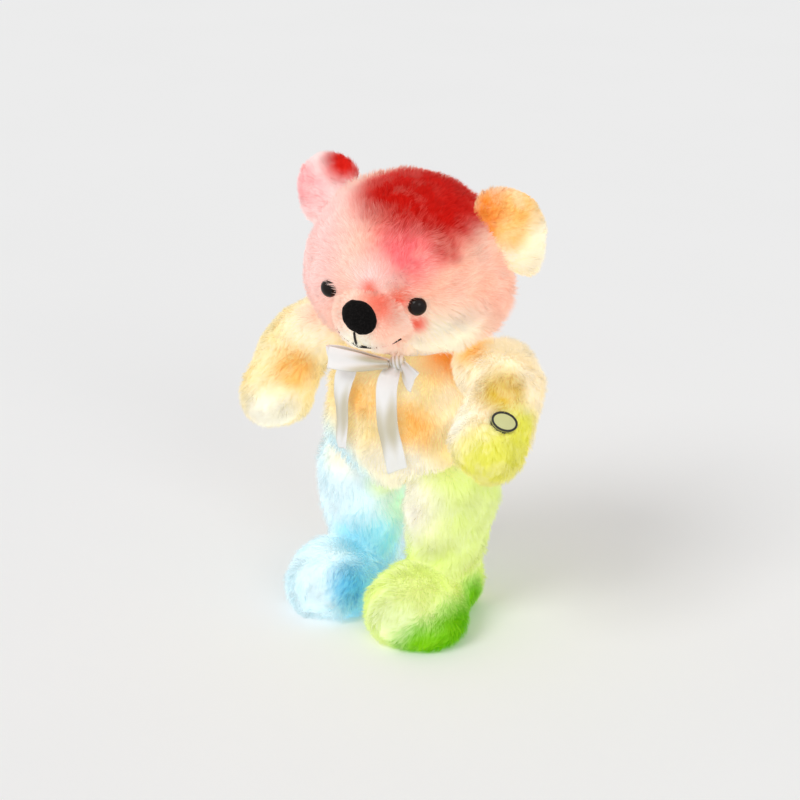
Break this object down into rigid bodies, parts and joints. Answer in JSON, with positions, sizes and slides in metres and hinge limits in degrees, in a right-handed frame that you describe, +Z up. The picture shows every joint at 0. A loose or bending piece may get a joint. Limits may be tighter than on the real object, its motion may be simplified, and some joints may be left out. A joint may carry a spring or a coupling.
{
  "type": "plush night light",
  "caption": "Standing plush teddy bear with a satin bow, glowing from inside; head, arms and legs turn, a push patch switches it.",
  "frame": {"origin": "centre of the bear's box on the ground plane", "axes": "+Z up through the standing bear, -Y the way its chest and feet face, +X towards its own left side"},
  "size_m": [0.33, 0.209, 0.4549],
  "materials": {
    "plush_torso": "long-pile plush over filling",
    "plush_head": "long-pile plush over filling",
    "plush_muzzle": "short-pile plush over filling",
    "plush_ear": "long-pile plush",
    "plush_arm": "long-pile plush over filling",
    "plush_leg_blue": "long-pile plush lit blue",
    "plush_leg_green": "long-pile plush lit green",
    "satin": "white satin ribbon",
    "eye_plastic": "black gloss",
    "nose_flock": "black flocked",
    "thread": "dark thread",
    "washer_plastic": "natural",
    "case_plastic": "off-white",
    "cell_steel": "bright can",
    "spring_steel": "bright wire",
    "board_resin": "green board",
    "chip_resin": "black",
    "led_resin": "clear resin",
    "lead_vinyl": "red cover",
    "panel_fabric": "woven cream",
    "zip_nylon": "white coil",
    "zip_metal": "nickel",
    "patch_vinyl": "pale vinyl with a dark rim",
    "switch_plastic": "black"
  },
  "bodies": {
    "body": {"torso": "plush_torso", "battery_case": "case_plastic", "battery_cover": "case_plastic", "cover_screw": "zip_metal", "cell_1": "cell_steel", "cell_2": "cell_steel", "cell_3": "cell_steel", "battery_spring_1": "spring_steel", "battery_spring_2": "spring_steel", "battery_spring_3": "spring_steel", "back_panel": "panel_fabric", "zip_teeth": "zip_nylon", "controller_board": "board_resin", "controller_chip": "chip_resin", "chest_light": "led_resin", "battery_lead": "lead_vinyl", "neck_lead": "lead_vinyl", "left_shoulder_lead": "lead_vinyl", "left_hip_lead": "lead_vinyl", "right_shoulder_lead": "lead_vinyl", "right_hip_lead": "lead_vinyl", "ribbon_band": "satin", "ribbon_knot": "satin", "left_loop": "satin", "right_loop": "satin", "left_tail": "satin", "right_tail": "satin"},
    "slider": {"zip_slider": "zip_metal"},
    "pull": {"zip_pull": "zip_metal"},
    "head": {"head": "plush_head", "head_light": "led_resin", "head_lead": "lead_vinyl", "muzzle": "plush_muzzle", "left_ear": "plush_ear", "right_ear": "plush_ear", "left_eye": "eye_plastic", "left_eye_washer": "washer_plastic", "right_eye": "eye_plastic", "right_eye_washer": "washer_plastic", "nose": "nose_flock", "nose_washer": "washer_plastic", "mouth_stitch": "thread"},
    "left_arm": {"left_arm": "plush_arm", "left_arm_lead": "lead_vinyl", "left_arm_light": "led_resin", "switch_housing": "switch_plastic", "switch_spring": "spring_steel", "switch_lead": "lead_vinyl"},
    "paw_button": {"press_patch": "patch_vinyl", "switch_plunger": "switch_plastic"},
    "right_arm": {"right_arm": "plush_arm", "right_arm_lead": "lead_vinyl", "right_arm_light": "led_resin"},
    "left_leg": {"left_leg": "plush_leg_green", "left_leg_lead": "lead_vinyl", "left_leg_light": "led_resin"},
    "right_leg": {"right_leg": "plush_leg_blue", "right_leg_lead": "lead_vinyl", "right_leg_light": "led_resin"}
  },
  "joints": [
    {"name": "head_turn", "type": "hinge", "parent": "body", "child": "head", "pos_m": [0.00235, 0.02114, 0.3025], "axis": [0, 0, 1], "range_deg": [-35, 35]},
    {"name": "left_arm_swing", "type": "hinge", "parent": "body", "child": "left_arm", "pos_m": [0.08835, 0.01614, 0.27], "axis": [-1, 0, 0], "range_deg": [-35, 60]},
    {"name": "right_arm_swing", "type": "hinge", "parent": "body", "child": "right_arm", "pos_m": [-0.08365, 0.01614, 0.27], "axis": [-1, 0, 0], "range_deg": [-35, 60]},
    {"name": "left_leg_swing", "type": "hinge", "parent": "body", "child": "left_leg", "pos_m": [0.05235, 0.02114, 0.141], "axis": [-1, 0, 0], "range_deg": [-20, 55]},
    {"name": "right_leg_swing", "type": "hinge", "parent": "body", "child": "right_leg", "pos_m": [-0.04765, 0.02114, 0.141], "axis": [-1, 0, 0], "range_deg": [-20, 55]},
    {"name": "press_button", "type": "slide", "parent": "left_arm", "child": "paw_button", "axis": [-0.6599, 0.4986, -0.562], "range_m": [0, 0.002], "stiffness_N_per_m": 800, "springref_m": -0.0005, "deforming": ["switch_spring"]},
    {"name": "zip_slide", "type": "slide", "parent": "body", "child": "slider", "axis": [0, 0, -1], "range_m": [0, 0.052]},
    {"name": "zip_pull_flip", "type": "hinge", "parent": "slider", "child": "pull", "pos_m": [0.00235, 0.09134, 0.24168], "axis": [1, 0, 0], "range_deg": [0, 150]}
  ]
}
